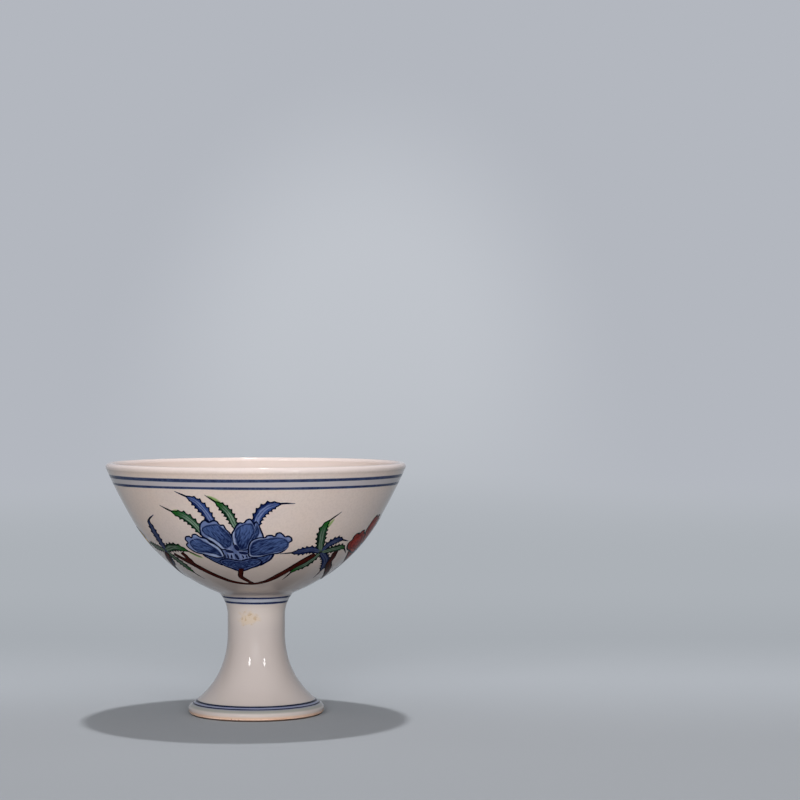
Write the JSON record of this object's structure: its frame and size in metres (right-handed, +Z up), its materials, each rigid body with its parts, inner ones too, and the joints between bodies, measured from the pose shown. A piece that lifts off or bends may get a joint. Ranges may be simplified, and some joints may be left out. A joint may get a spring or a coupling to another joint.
{
  "type": "porcelain stem cup",
  "caption": "Small porcelain stem cup: flared bowl on a hollow trumpet stem, painted with a flower scroll between blue lines; holds a mouthful of wine.",
  "frame": {"origin": "centre of the resting plane of the foot ring", "axes": "+Z up along the axis of the stem, -Y towards the painted front with the blue flower, +X to the viewer's right"},
  "size_m": [0.08, 0.08, 0.067],
  "materials": {
    "porcelain": "matte fired clay, bare at the foot ring",
    "slip": "matte fired slip",
    "clear_glaze": "glossy warm white glaze",
    "cobalt_line": "cobalt blue under glaze, brushed",
    "blue_colour": "cobalt blue, streaky",
    "red_enamel": "thin iron red enamel",
    "yellow_enamel": "yellow enamel",
    "green_enamel": "translucent green enamel",
    "brown_enamel": "dark brown enamel"
  },
  "bodies": {
    "root": {"bowl_body": "porcelain", "stem_body": "porcelain", "luting_slip": "slip", "outer_glaze": "clear_glaze", "inner_glaze": "clear_glaze", "rim_bands": "cobalt_line", "collar_bands": "cobalt_line", "foot_bands": "cobalt_line", "blue_flowers": "blue_colour", "red_flower": "red_enamel", "yellow_flower": "yellow_enamel", "blue_leaves": "blue_colour", "green_leaves": "green_enamel", "branches": "brown_enamel"}
  },
  "joints": []
}
